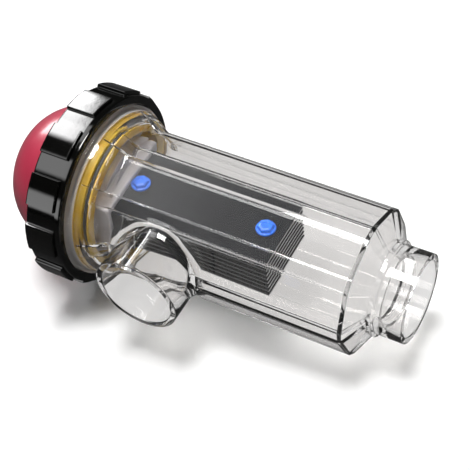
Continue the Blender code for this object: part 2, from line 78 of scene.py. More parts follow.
# ---------------------------------------------------------------- sizes of the fine meshes, in millimetres
PORT_R, PORT_BORE_R, PORT_THROAT_R = 31.5, 26.8, 23.8
END_TUBE_X, THROAT_X, COLLAR_X, SHOULDER_X = -20.0, -17.0, -23.5, -33.0
BELL_END_X, BELL_RIM_X, RIM_COLLAR_X = -211.5, -236.4, -241.4
CORNER_R, WALL, COLLAR_R = 51.5, 4.3, 34.0
FACET_HALF = math.radians(5.6)
EDGE_BEAD, EDGE_BEAD_HALF = 0.22, math.radians(0.5)
RIM_BORE_R, SEAT_R = 57.6, 54.4
NOSE_STEP_X, HEAD_FACE_X = -235.5, -226.0
PITCH, THREAD_ROOT_R, THREAD_DEPTH = 4.0, 61.4, 2.0
NUT_R, NUT_BORE_R, NUT_LIP_BORE_R, NUT_LIP, LUGS = 71.2, 64.6, 57.3, 4.0, 12
LUG_TURN = math.radians(20.0)
NUT_ROOT_R = THREAD_ROOT_R + THREAD_DEPTH + 0.4
DOME_R, DOME_WALL, DOME_POWER = 54.0, 2.6, 2.2
GLAND_X, BOSS_R, BOSS_Z = -288.0, 11.0, -54.0
SIDE_FILLET, RIB_HEIGHT, MOUTH_BEVEL = 9.0, 1.25, 0.7
GROOVE_DEPTH, GROOVE_HALF, NOSE_R, NOSE_BACK_R = 3.4, 1.9, 54.0, 57.2
HUB_R, HUB_BOSS_R, PLINTH_HALF_Y, PLINTH_HALF_Z = 45.0, 30.0, 33.5, 20.5
POCKET_R, POCKET_DEPTH, POCKET_RING_R, POCKET_TURNS = 2.6, 7.0, 49.6, (34.0, 48.0)


# ---------------------------------------------------------------- mesh tools
def mesh_object(name, bm, weld=2e-6, sharp=None):
    bmesh.ops.remove_doubles(bm, verts=bm.verts, dist=weld)
    bmesh.ops.recalc_face_normals(bm, faces=bm.faces)
    mesh = bpy.data.meshes.new(name)
    bm.to_mesh(mesh)
    bm.free()
    return link(name, mesh, sharp)


def link(name, mesh, sharp=None):
    piece = bpy.data.objects.new(name, mesh)
    bpy.context.scene.collection.objects.link(piece)
    smooth(piece, sharp)
    return piece


def smooth(piece, sharp=None):
    piece.data.shade_smooth()
    if sharp is not None:
        piece.data.set_sharp_from_angle(angle=math.radians(sharp))


def loft(name, rings, closed=False, sharp=None):
    """A solid through rings of (x, y, z) points in millimetres that all have the same count."""
    bm = bmesh.new()
    rows = [[bm.verts.new(Vector(point) * MM) for point in ring] for ring in rings]
    count = len(rings[0])
    for i in range(len(rows) if closed else len(rows) - 1):
        first, second = rows[i], rows[(i + 1) % len(rows)]
        for j in range(count):
            k = (j + 1) % count
            bm.faces.new((first[j], first[k], second[k], second[j]))
    if not closed:
        bm.faces.new(rows[0])
        bm.faces.new(rows[-1])
    return mesh_object(name, bm, sharp=sharp)


def ring(x, radius, count):
    """A ring about the X axis. radius is a number or a function of the angle."""
    points = []
    for i in range(count):
        a = TAU * i / count
        r = radius(a) if callable(radius) else radius
        points.append((x, r * math.cos(a), r * math.sin(a)))
    return points


def body_ring(x, radius):
    """A ring on the housing's own columns."""
    points = []
    for a in COLUMNS:
        r = radius(a) if callable(radius) else radius
        points.append((x, r * math.cos(a), r * math.sin(a)))
    return points


def turned(name, profile, count=96, closed=False, sharp=30.0):
    return loft(name, [ring(x, r, count) for x, r in profile], closed, sharp)


def rounded(profile, radius, steps=3, closed=False):
    """The profile with each corner replaced by a small arc. A corner may carry its own radius."""
    out = []
    count = len(profile)
    for i, corner in enumerate(profile):
        here = Vector(corner[:2])
        size = corner[2] if len(corner) > 2 else radius
        if not closed and i in (0, count - 1) or size == 0:
            out.append(tuple(here))
            continue
        before = Vector(profile[i - 1][:2]) - here
        after = Vector(profile[(i + 1) % count][:2]) - here
        reach = min(size, before.length * 0.45, after.length * 0.45)
        a, b = here + before.normalized() * reach, here + after.normalized() * reach
        for s in range(steps + 1):
            t = s / steps
            out.append(tuple(a * (1 - t) ** 2 + here * 2 * t * (1 - t) + b * t * t))
    return out


def moved(piece, matrix):
    piece.data.transform(matrix)
    return piece


def boolean(piece, tool, how):
    step = piece.modifiers.new(how.lower(), "BOOLEAN")
    step.operation = how
    step.solver = "EXACT"
    step.object = tool
    applied(piece)
    bpy.data.objects.remove(tool, do_unlink=True)


def applied(piece):
    """Turns the piece's modifiers into mesh."""
    graph = bpy.context.evaluated_depsgraph_get()
    done = bpy.data.meshes.new_from_object(piece.evaluated_get(graph))
    piece.modifiers.clear()
    piece.data = done


def bevelled(piece, width, segments=3, angle=30.0, sharp=None):
    step = piece.modifiers.new("bevel", "BEVEL")
    step.width = width * MM
    step.segments = segments
    step.limit_method = "ANGLE"
    step.angle_limit = math.radians(angle)
    step.harden_normals = False
    applied(piece)
    smooth(piece, sharp)
    return piece


def box_object(name, lowest, highest):
    bm = bmesh.new()
    bmesh.ops.create_cube(bm, size=1.0)
    for vert in bm.verts:
        vert.co = Vector([(lowest[i] if vert.co[i] < 0 else highest[i]) * MM for i in range(3)])
    return mesh_object(name, bm)


def prism(name, outline, near, far):
    """An outline of (y, z) corners extruded along X."""
    return loft(name, [[(x, y, z) for y, z in outline] for x in (near, far)])


def circle(y, z, r, count, turn=0.0):
    return [(y + r * math.cos(TAU * i / count + turn), z + r * math.sin(TAU * i / count + turn))
            for i in range(count)]


def ease(t):
    t = min(1.0, max(0.0, t))
    return t * t * (3 - 2 * t)


# ---------------------------------------------------------------- housing
def body_columns():
    """Angles for the rings: close together at the edges of the corner facets, wider apart on the panels."""
    half = math.degrees(FACET_HALF)
    edge = [half + step for step in (-1.5, -1.1, -0.7, -0.35, 0.0, 0.35, 0.7, 1.1, 1.5)]
    away = [-v for v in reversed(edge)] + [-2.0, 0.0, 2.0] + edge
    panel = [9.0, 11.5, 14.0, 17.0, 20.0, 22.5, 25.0, 28.0, 31.0, 33.5, 36.0]
    return [math.radians(45.0 * i + v) for i in range(8) for v in away + panel]


COLUMNS = body_columns()
EIGHTH = math.pi / 4


def from_corner(angle):
    """How far an angle is from the middle of the nearest corner facet."""
    return abs((angle + EIGHTH / 2) % EIGHTH - EIGHTH / 2)


def octagon(angle, corner, crispness=150.0):
    """Radius of the eight-sided section: panels between corner facets, with a fine bead on their edges."""
    away = from_corner(angle)
    facet = math.cos(away) / (corner * math.cos(FACET_HALF))
    panel = math.cos(EIGHTH / 2 - away) / (corner * math.cos(EIGHTH / 2 - FACET_HALF))
    most = max(facet, panel)
    total = (facet / most) ** crispness + (panel / most) ** crispness
    bead = EDGE_BEAD * math.exp(-((away - FACET_HALF) / EDGE_BEAD_HALF) ** 2)
    return 1 / (most * total ** (1 / crispness)) + bead


def section(x, corner, roundness=0.0):
    """A ring of the eight-sided section, drawn out towards a circle by roundness."""
    def radius(a):
        r = octagon(a, corner)
        return r + (corner - r) * roundness
    return body_ring(x, radius)


def bell_ring(x, t, flare):
    """Between the round rim at t = 0 and the body's section at t = 1, with flat ribs on the corners."""
    blend = ease((t - 0.25) / 0.75)
    raised = RIB_HEIGHT * (1 - ease((t - 0.55) / 0.45))

    def radius(a):
        between = flare + (octagon(a, CORNER_R) - flare) * blend
        away = from_corner(a)
        top = (flare + raised) * math.cos(FACET_HALF) / math.cos(min(away, FACET_HALF))
        if away > FACET_HALF:
            top -= (away - FACET_HALF) * 400.0
        return max(between, top)
    return body_ring(x, radius)


def thread_rings(near, far, root, depth, base, make_ring):
    """Rings of a right-handed thread, close enough together that its ridges follow the helix."""
    rows = []
    steps = max(2, int((far - near) / 0.25))
    for i in range(steps + 1):
        x = near + (far - near) * i / steps
        fade = min(1.0, (x - near) / 1.0, (far - x) / 1.0)

        def radius(a, x=x, fade=fade):
            share = ((x - base) / PITCH - a / TAU) % 1.0
            up, down = share / 0.15, (0.56 - share) / 0.15
            return root + depth * fade * max(0.0, min(1.0, up, down))
        rows.append(make_ring(x, radius))
    return rows


def housing_skin():
    rows = [body_ring(RIM_END_X, RIM_BORE_R + 1.0), body_ring(RIM_END_X, THREAD_ROOT_R - 0.8)]
    rows += thread_rings(RIM_END_X + 0.6, RIM_COLLAR_X - 0.4, THREAD_ROOT_R, THREAD_DEPTH,
                         RIM_END_X, body_ring)
    collar = rounded([(RIM_COLLAR_X, THREAD_ROOT_R), (RIM_COLLAR_X, RIM_R), (BELL_RIM_X, RIM_R),
                      (BELL_RIM_X + 0.9, RIM_R - 2.6), (BELL_RIM_X + 4.0, 60.6)], 0.6, 4)
    rows += [body_ring(x, r) for x, r in collar]
    start, steps = BELL_RIM_X + 4.0, 26
    for i in range(1, steps + 1):
        t = i / steps
        x = start + (BELL_END_X - start) * t
        flare = CORNER_R + (60.6 - CORNER_R) * (1 - t)
        rows.append(bell_ring(x, t, flare))

    rows += [section(x, CORNER_R) for x in (BELL_END_X + 1.0, BELL_END_X + 3.0, SHOULDER_X - 3.0)]
    shoulder = rounded([(SHOULDER_X - 2.4, CORNER_R), (SHOULDER_X, CORNER_R),
                        (COLLAR_X, COLLAR_R), (COLLAR_X + 0.5, COLLAR_R)], 0.4, 4)
    for x, r in shoulder[1:-1]:
        rows.append(section(x, r, 0.6 * ease((CORNER_R - r) / (CORNER_R - COLLAR_R))))
    tail = rounded([(COLLAR_X, COLLAR_R), (END_TUBE_X - 0.3, COLLAR_R), (END_TUBE_X + 0.4, PORT_R),
                    (0.0, PORT_R), (0.0, PORT_BORE_R)], 0.5, 4)
    rows += [body_ring(x, r) for x, r in tail[1:]]
    return loft("housing_shell", rows)


def chamber():
    """What is cut out of the housing between its wide end and the end port."""
    inner = CORNER_R - WALL - 0.2
    rows = [body_ring(RIM_END_X - 5.0, RIM_BORE_R), body_ring(NOSE_STEP_X - 0.2, RIM_BORE_R),
            body_ring(NOSE_STEP_X + 0.4, RIM_BORE_R - 0.4), body_ring(NOSE_STEP_X + 2.4, SEAT_R),
            body_ring(HEAD_FACE_X - 0.4, SEAT_R), body_ring(HEAD_FACE_X + 0.4, SEAT_R - 0.3)]
    start, end, steps = HEAD_FACE_X + 0.4, BELL_END_X - 3.0, 10
    for i in range(1, steps + 1):
        t = ease(i / steps)
        x = start + (end - start) * i / steps
        rows.append(body_ring(x, lambda a, t=t: (SEAT_R - 0.3) * (1 - t) + octagon(a, inner) * t))
    rows.append(section(SHOULDER_X - 5.0, inner))
    cone = [(SHOULDER_X - 5.0, inner), (SHOULDER_X - 4.0, inner),
            (COLLAR_X - 3.5, PORT_THROAT_R + 1.0), (COLLAR_X + 1.0, PORT_THROAT_R)]
    for x, r in rounded(cone, 0.6, 4)[1:-1]:
        rows.append(section(x, r, ease((inner - r) / (inner - PORT_THROAT_R))))
    tail = rounded([(COLLAR_X + 1.0, PORT_THROAT_R), (THROAT_X, PORT_THROAT_R), (THROAT_X, PORT_BORE_R),
                    (-MOUTH_BEVEL, PORT_BORE_R), (0.0, PORT_BORE_R + MOUTH_BEVEL),
                    (5.0, PORT_BORE_R + MOUTH_BEVEL)], 0.35, 3)
    rows += [body_ring(x, r) for x, r in tail]
    return loft("cut_chamber", rows)


def across(piece):
    """Turns a mesh made about X to run about the side port's axis, which points to -Y."""
    place = Matrix.Translation(Vector((SIDE_PORT_X, 0, 0)) * MM)
    return moved(piece, place @ Matrix.Rotation(-math.pi / 2, 4, "Z"))


def side_port():
    """The side port's outside, with a fillet that meets the body all the way round."""
    count, steps = 144, 10
    rings = [[] for _ in range(3 + steps)]
    for i in range(count):
        a = TAU * i / count

        def surface(r):
            """How far from the cell's axis, along -Y, the body's skin is at this distance from the port's."""
            z = r * math.sin(a)
            y = 45.0
            for _ in range(12):
                skin = octagon(math.atan2(z, -y), CORNER_R)
                y = math.sqrt(max(1.0, skin ** 2 - z * z)) * 0.5 + y * 0.5
            return y

        def point(r, reach):
            return (SIDE_PORT_X + r * math.cos(a), -reach, r * math.sin(a))

        wide = PORT_R + SIDE_FILLET
        foot, corner = surface(wide), surface(PORT_R)
        rings[0].append(point(wide * 0.5, 20.0))
        rings[1].append(point(wide, foot - 6.0))
        rings[2].append(point(wide, foot - 0.12))
        for step in range(1, steps + 1):
            t = step / steps
            first, middle, last = (1 - t) ** 2, 2 * t * (1 - t), t * t
            r = first * wide + middle * PORT_R + last * PORT_R
            reach = first * (foot - 0.12) + middle * (corner + 0.2) + last * (corner + SIDE_FILLET)
            rings[2 + step].append(point(r, reach))
    mouth = rounded([(SIDE_PORT_REACH - 6.0, PORT_R), (SIDE_PORT_REACH, PORT_R),
                     (SIDE_PORT_REACH, PORT_BORE_R)], 0.8, 4)
    for reach, r in mouth:
        rings.append([(SIDE_PORT_X + r * math.cos(TAU * i / count), -reach, r * math.sin(TAU * i / count))
                      for i in range(count)])
    return loft("add_port", rings)


def make_housing():
    shell = housing_skin()
    boolean(shell, side_port(), "UNION")
    boolean(shell, chamber(), "DIFFERENCE")
    bore = turned("cut_bore", [(20.0, PORT_BORE_R)] + rounded([
        (25.0, PORT_BORE_R), (SIDE_PORT_REACH - MOUTH_BEVEL, PORT_BORE_R),
        (SIDE_PORT_REACH, PORT_BORE_R + MOUTH_BEVEL),
        (SIDE_PORT_REACH + 5.0, PORT_BORE_R + MOUTH_BEVEL)], 0.3, 3), 144)
    boolean(shell, across(bore), "DIFFERENCE")
    smooth(shell, 24.0)
    shell.data.materials.clear()
    shell.data.materials.append(CLEAR)
    shell.data.materials.append(FROSTED)
    for face in shell.data.polygons:
        face.material_index = 1 if face.center.x < (RIM_COLLAR_X + 2.2) * MM else 0
    shell.name = "housing_shell"
    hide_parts("housing")
    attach(shell, "housing")


# ---------------------------------------------------------------- lock nut
def make_nut():
    pitch = TAU / LUGS
    half, flank = math.radians(9.0), math.radians(0.22)
    offsets = [0.0, 2.5, 5.0, 7.2, 8.2, 8.6, 8.78, 8.9, 9.0, 9.1, 9.22, 9.4, 9.8, 10.8, 12.6]
    columns = []
    for i in range(LUGS):
        middle = LUG_TURN + i * pitch
        columns += [middle - math.radians(v) for v in reversed(offsets[1:])]
        columns += [middle + math.radians(v) for v in offsets]
        columns.append(middle + pitch / 2)

    def nut_ring(x, radius):
        points = []
        for a in columns:
            r = radius(a) if callable(radius) else radius
            points.append((x, r * math.cos(a), r * math.sin(a)))
        return points

    def row(x, top, floor):
        def radius(a):
            away = abs((a - LUG_TURN + pitch / 2) % pitch - pitch / 2)
            return floor + (top - floor) * ease((half - away) / flank / 2 + 0.5)
        return nut_ring(x, radius)

    lip_face = NUT_BACK_X + NUT_LIP
    rows = [nut_ring(x, r) for x, r in rounded(
        [(lip_face, NUT_ROOT_R), (lip_face, NUT_LIP_BORE_R), (NUT_BACK_X, NUT_LIP_BORE_R),
         (NUT_BACK_X, 66.0), (NUT_BACK_X + 0.5, 66.4), (NUT_BACK_X + 0.5, 67.2)], 0.7, 4)[1:]]
    back_edge = ((0.0, 2.4), (0.0, 1.0), (0.07, 0.55), (0.25, 0.22), (0.6, 0.03), (0.9, 0.0), (1.3, 0.0))
    for x, drop in back_edge:
        rows.append(row(NUT_BACK_X + x, LUG_R - drop, NUT_R - drop))
    for x, drop in ((5.6, 0.0), (4.9, 0.0), (4.6, 0.03), (4.35, 0.2), (4.2, 0.5), (4.15, 0.9)):
        rows.append(row(NUT_FRONT_X - x, max(NUT_R, LUG_R - drop), NUT_R))
    rows += [nut_ring(NUT_FRONT_X - 4.1, NUT_R), nut_ring(NUT_FRONT_X - 3.8, NUT_R - 0.02)]
    front = rounded([(NUT_FRONT_X - 3.6, NUT_R - 0.05), (NUT_FRONT_X - 1.4, NUT_R - 0.3, 0),
                     (NUT_FRONT_X, NUT_R - 0.5), (NUT_FRONT_X, NUT_BORE_R),
                     (NUT_FRONT_X - 4.0, NUT_BORE_R), (NUT_FRONT_X - 4.2, NUT_ROOT_R)], 0.7, 4)
    rows += [nut_ring(x, r) for x, r in front[1:]]
    rows += thread_rings(lip_face + 6.0, NUT_FRONT_X - 4.4, NUT_ROOT_R, -THREAD_DEPTH,
                         RIM_END_X + PITCH / 2, nut_ring)[::-1]
    nut = loft("lock_nut_body", rows, closed=True, sharp=35.0)
    nut.data.materials.append(NUT_BLACK)
    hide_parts("lock_nut")
    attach(nut, "lock_nut")


# ---------------------------------------------------------------- dome cap
def dome_profile(shrink, steps):
    height = NUT_BACK_X - DOME_CROWN_X
    power = 2.0 / DOME_POWER
    points = []
    for i in range(steps + 1):
        a = math.pi / 2 * i / steps
        points.append((NUT_BACK_X - (height - shrink) * math.sin(a) ** power,
                       max(0.05, (DOME_R - shrink) * max(0.0, math.cos(a)) ** power)))
    return points


def make_dome():
    back = DOME_FRONT_X - 2.8
    edge = rounded([(DOME_FRONT_X, DOME_FLANGE_R - 2.0), (DOME_FRONT_X, DOME_FLANGE_R),
                    (back, DOME_FLANGE_R), (back, DOME_R, 1.2), (NUT_BACK_X, DOME_R)], 0.5, 4)
    cap = turned("dome_shell", edge[:-1] + dome_profile(0.0, 48), 160)
    boss = turned("add_boss", rounded([(-28.0, 1.0), (-28.0, BOSS_R), (0.0, BOSS_R), (0.0, 1.0)], 1.0, 4), 64)
    down = Matrix.Translation(Vector((GLAND_X, 0, BOSS_Z)) * MM) @ Matrix.Rotation(math.pi / 2, 4, "Y")
    boolean(cap, moved(boss, down), "UNION")
    cavity = [(DOME_FRONT_X + 5.0, DOME_R - DOME_WALL)] + dome_profile(DOME_WALL, 32)
    boolean(cap, turned("cut_dome", cavity, 120), "DIFFERENCE")
    hole = turned("cut_hole", [(-32.0, 7.3), (5.0, 7.3)], 48)
    boolean(cap, moved(hole, down), "DIFFERENCE")
    smooth(cap, 30.0)
    cap.data.materials.clear()
    cap.data.materials.append(RED)
    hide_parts("dome_cap")
    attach(cap, "cartridge")


# ---------------------------------------------------------------- plate bolts
def make_bolt(node_name):
    """A round flange and a domed six-sided cap on a plain shank."""
    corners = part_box(node_name)
    lowest, highest = corners[0] / MM, corners[1] / MM
    centre = (lowest + highest) / 2
    flange = (highest[0] - lowest[0]) / 2
    seat, top = high("electrode_plate_8", 2) + 0.35, highest[2]
    shank = (high("plate_spacer_1_1", 0) - low("plate_spacer_1_1", 0)) / 2 * 0.58
    count = 72

    def row(z, radius):
        points = []
        for i in range(count):
            a = TAU * i / count
            r = radius(a) if callable(radius) else radius
            points.append((centre[0] + r * math.cos(a), centre[1] + r * math.sin(a), z))
        return points

    def six_sided(across, crispness=60.0):
        def radius(a):
            away = (a + math.pi / 6) % (math.pi / 3) - math.pi / 6
            sides = [max(0.0, math.cos(away + k * math.pi / 3)) ** crispness for k in (-1, 0, 1)]
            return across / sum(sides) ** (1 / crispness)
        return radius

    rows = [row(z, r) for r, z in rounded(
        [(shank - 0.5, lowest[2]), (shank, lowest[2] + 0.5), (shank, seat), (flange, seat),
         (flange, seat + 1.3), (flange - 1.0, seat + 1.7), (5.9, seat + 1.7)], 0.35, 3)]
    for across, z in ((5.35, seat + 1.75), (5.2, seat + 2.0), (5.1, top - 1.3), (4.9, top - 0.75),
                      (4.4, top - 0.3), (3.6, top - 0.08)):
        rows.append(row(z, six_sided(across)))
    rows += [row(top, 2.9), row(top, 2.3), row(top - 0.35, 2.0), row(top - 0.4, 0.4)]
    bolt = loft(node_name + "_moulding", rows, sharp=40.0)
    bolt.data.materials.append(BLUE)
    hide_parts(node_name)
    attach(bolt, "cartridge")


# ---------------------------------------------------------------- electrode head
def make_head():
    """The disc that carries the plates: an amber ring with the seal groove, and a pale hub with a plinth."""
    groove, inside = SEAT_R - GROOVE_DEPTH, HUB_R + 0.05
    profile = rounded([
        (HEAD_BACK_X, inside), (HEAD_BACK_X, HEAD_FLANGE_R), (HEAD_BACK_X + 3.8, HEAD_FLANGE_R),
        (HEAD_BACK_X + 3.8, NOSE_BACK_R), (NOSE_STEP_X, NOSE_BACK_R), (NOSE_STEP_X, NOSE_R),
        (O_RING_X - GROOVE_HALF, NOSE_R), (O_RING_X - GROOVE_HALF, groove),
        (O_RING_X + GROOVE_HALF, groove), (O_RING_X + GROOVE_HALF, NOSE_R), (HEAD_FACE_X, NOSE_R),
        (HEAD_FACE_X, inside)], 0.6, 3, closed=True)
    band = turned("electrode_head_ring", profile, 160, closed=True)
    for side in (-1, 1):
        for turn in POCKET_TURNS:
            a = math.radians(90 + side * turn)
            outline = circle(POCKET_RING_R * math.cos(a), POCKET_RING_R * math.sin(a), POCKET_R, 24)
            pocket = prism("cut_pocket", outline, HEAD_FACE_X - POCKET_DEPTH, HEAD_FACE_X + 3.0)
            boolean(band, pocket, "DIFFERENCE")
    smooth(band, 30.0)
    hub = turned("electrode_head_hub", rounded([
        (HEAD_BACK_X + 8.0, 2.0), (HEAD_BACK_X + 8.0, HUB_R), (HEAD_FACE_X - 10.0, HUB_R),
        (HEAD_FACE_X - 10.0, HUB_BOSS_R), (HEAD_FACE_X, HUB_BOSS_R), (HEAD_FACE_X, 2.0)], 0.5, 3), 120)
    plinth = box_object("add_plinth", (HEAD_FACE_X - 11.0, -PLINTH_HALF_Y, -PLINTH_HALF_Z),
                        (PLINTH_X, PLINTH_HALF_Y, PLINTH_HALF_Z))
    boolean(hub, bevelled(plinth, 1.5, 3), "UNION")

    def cut_around(node_name, gap):
        slot = box_object("cut_slot", [low(node_name, i) - gap for i in range(3)],
                          [high(node_name, i) + gap for i in range(3)])
        boolean(hub, slot, "DIFFERENCE")

    for plate in range(1, 9):
        cut_around("electrode_plate_%d" % plate, 0.35)
    for bar in ("anode_bus_bar", "cathode_bus_bar"):
        cut_around(bar, 0.3)
        middle = (low(bar, 1) + high(bar, 1)) / 2
        stud = prism("cut_stud", circle(middle, 0.0, 2.3, 24), HEAD_BACK_X, NOSE_STEP_X + 12.0)
        boolean(hub, stud, "DIFFERENCE")
    smooth(hub, 30.0)
    for piece, material in ((band, AMBER), (hub, HUB)):
        piece.data.materials.clear()
        piece.data.materials.append(material)
        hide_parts("electrode_head")
        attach(piece, "cartridge")


def make_seal():
    """The O-ring: a smooth torus in the head's groove."""
    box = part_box("o_ring")
    outer = box[1][2] / MM
    wire = (box[1][0] - box[0][0]) / MM / 2
    profile = [(O_RING_X + wire * math.cos(TAU * i / 20), outer - wire + wire * math.sin(TAU * i / 20))
               for i in range(20)]
    seal = turned("seal_ring", profile, 144, closed=True, sharp=None)
    seal.data.materials.append(RUBBER)
    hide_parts("o_ring")
    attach(seal, "cartridge")


# ---------------------------------------------------------------- materials
def node(tree, kind, **values):
    made = tree.nodes.new(kind)
    for name, value in values.items():
        setattr(made, name, value)
    return made


def principled(name, colour, **sockets):
    material = bpy.data.materials.new(name)
    material.use_nodes = True
    tree = material.node_tree
    shader = tree.nodes["Principled BSDF"]
    shader.inputs["Base Color"].default_value = (*colour, 1.0)
    for socket, value in sockets.items():
        shader.inputs[socket.replace("_", " ")].default_value = value
    return material, tree, shader


def coordinates(tree, scale=1.0):
    place = node(tree, "ShaderNodeTexCoord")
    mapping = node(tree, "ShaderNodeMapping")
    mapping.inputs["Scale"].default_value = (scale,) * 3 if isinstance(scale, (int, float)) else scale
    tree.links.new(place.outputs["Object"], mapping.inputs["Vector"])
    return mapping.outputs["Vector"]


def noise(tree, vector, scale, detail=4.0, roughness=0.5):
    made = node(tree, "ShaderNodeTexNoise")
    made.inputs["Scale"].default_value = scale
    made.inputs["Detail"].default_value = detail
    made.inputs["Roughness"].default_value = roughness
    tree.links.new(vector, made.inputs["Vector"])
    return made.outputs["Fac"]


def ramp(tree, factor, stops):
    made = node(tree, "ShaderNodeValToRGB")
    elements = made.color_ramp.elements
    while len(elements) < len(stops):
        elements.new(0.5)
    for element, (position, colour) in zip(elements, stops):
        element.position = position
        element.color = (*colour, 1.0)
    tree.links.new(factor, made.inputs["Fac"])
    return made.outputs["Color"]


def spread(tree, factor, lowest, highest):
    made = node(tree, "ShaderNodeMapRange")
    made.inputs["To Min"].default_value = lowest
    made.inputs["To Max"].default_value = highest
    tree.links.new(factor, made.inputs["Value"])
    return made.outputs["Result"]


def math_node(tree, operation, first, second=None):
    """first and second are sockets or plain numbers."""
    made = node(tree, "ShaderNodeMath", operation=operation)
    for value, socket in zip((first, second), made.inputs):
        if isinstance(value, (int, float)):
            socket.default_value = value
        elif value is not None:
            tree.links.new(value, socket)
    return made.outputs[0]


def window(tree, value, start, full, end, gone):
    """0 before start, 1 between full and end, 0 after gone, with smooth slopes."""
    parts = []
    for low_end, high_end in ((start, full), (gone, end)):
        made = node(tree, "ShaderNodeMapRange", interpolation_type="SMOOTHSTEP")
        made.inputs["From Min"].default_value = low_end
        made.inputs["From Max"].default_value = high_end
        tree.links.new(value, made.inputs["Value"])
        parts.append(made.outputs["Result"])
    return math_node(tree, "MULTIPLY", *parts)


def bump(tree, shader, height, strength, distance):
    made = node(tree, "ShaderNodeBump")
    made.inputs["Strength"].default_value = strength
    made.inputs["Distance"].default_value = distance
    tree.links.new(height, made.inputs["Height"])
    tree.links.new(made.outputs["Normal"], shader.inputs["Normal"])


def let_shadows_through(tree, shader, tint):
    """Glass that lamps shine through: for shadow rays the surface is a plain tinted pane."""
    path = node(tree, "ShaderNodeLightPath")
    pane = node(tree, "ShaderNodeBsdfTransparent")
    pane.inputs["Color"].default_value = (*tint, 1.0)
    mix = node(tree, "ShaderNodeMixShader")
    tree.links.new(path.outputs["Is Shadow Ray"], mix.inputs["Fac"])
    tree.links.new(shader.outputs["BSDF"], mix.inputs[1])
    tree.links.new(pane.outputs["BSDF"], mix.inputs[2])
    tree.links.new(mix.outputs["Shader"], tree.nodes["Material Output"].inputs["Surface"])


def clear_plastic():
    material, tree, shader = principled("clear_acrylic", (0.957, 0.946, 0.938), IOR=1.49,
                                        Transmission_Weight=0.996)
    vector = coordinates(tree)
    tree.links.new(spread(tree, noise(tree, vector, 60.0, 2.0), 0.012, 0.02), shader.inputs["Roughness"])
    bump(tree, shader, noise(tree, vector, 30.0, 2.0), 0.002, 0.0006)
    let_shadows_through(tree, shader, (0.50, 0.50, 0.495))
    return material


def frosted_plastic():
    """The same acrylic where the rim and its thread are ground and scuffed."""
    material, tree, shader = principled("frosted_acrylic", (0.90, 0.88, 0.88), IOR=1.49,
                                        Transmission_Weight=0.55)
    vector = coordinates(tree)
    tree.links.new(spread(tree, noise(tree, vector, 300.0, 4.0), 0.12, 0.3), shader.inputs["Roughness"])
    bump(tree, shader, noise(tree, vector, 900.0, 2.0), 0.04, 0.0003)
    let_shadows_through(tree, shader, (0.6, 0.6, 0.6))
    return material


def hub_plastic():
    """Pale smoky moulding in the middle of the head."""
    material, tree, shader = principled("pale_moulding", (0.60, 0.59, 0.62), IOR=1.49,
                                        Transmission_Weight=0.35)
    vector = coordinates(tree)
    cloud = noise(tree, vector, 60.0, 4.0)
    tree.links.new(ramp(tree, cloud, [(0.3, (0.42, 0.41, 0.43)), (0.7, (0.60, 0.58, 0.60))]),
                   shader.inputs["Base Color"])
    tree.links.new(spread(tree, cloud, 0.15, 0.3), shader.inputs["Roughness"])
    bump(tree, shader, noise(tree, vector, 400.0, 2.0), 0.05, 0.0003)
    return material


def amber_plastic():
    material, tree, shader = principled("amber_moulding", (0.93, 0.66, 0.08), IOR=1.45,
                                        Transmission_Weight=0.55)
    vector = coordinates(tree)
    cloud = noise(tree, vector, 45.0, 4.0)
    tree.links.new(ramp(tree, cloud, [(0.3, (0.80, 0.47, 0.02)), (0.7, (0.95, 0.70, 0.10))]),
                   shader.inputs["Base Color"])
    tree.links.new(spread(tree, cloud, 0.08, 0.2), shader.inputs["Roughness"])
    bump(tree, shader, noise(tree, vector, 300.0, 3.0), 0.05, 0.0004)
    let_shadows_through(tree, shader, (0.8, 0.62, 0.25))
    return material


def gloss_black():
    material, tree, shader = principled("gloss_black_moulding", (0.0015, 0.0015, 0.0013), IOR=1.5,
                                        Specular_IOR_Level=0.4)
    vector = coordinates(tree)
    cloud = noise(tree, vector, 60.0, 5.0)
    tree.links.new(spread(tree, cloud, 0.04, 0.09), shader.inputs["Roughness"])
    bump(tree, shader, noise(tree, vector, 220.0, 3.0), 0.03, 0.0004)
    return material


def red_plastic():
    material, tree, shader = principled("raspberry_moulding", (0.42, 0.03, 0.065), IOR=1.47,
                                        Coat_Weight=0.8, Coat_Roughness=0.16)
    vector = coordinates(tree)
    cloud = noise(tree, vector, 25.0, 4.0)
    tree.links.new(ramp(tree, cloud, [(0.3, (0.39, 0.026, 0.058)), (0.7, (0.45, 0.035, 0.072))]),
                   shader.inputs["Base Color"])
    tree.links.new(spread(tree, noise(tree, vector, 400.0, 2.0), 0.33, 0.45), shader.inputs["Roughness"])
    bump(tree, shader, noise(tree, vector, 1500.0, 2.0), 0.08, 0.0002)
    return material


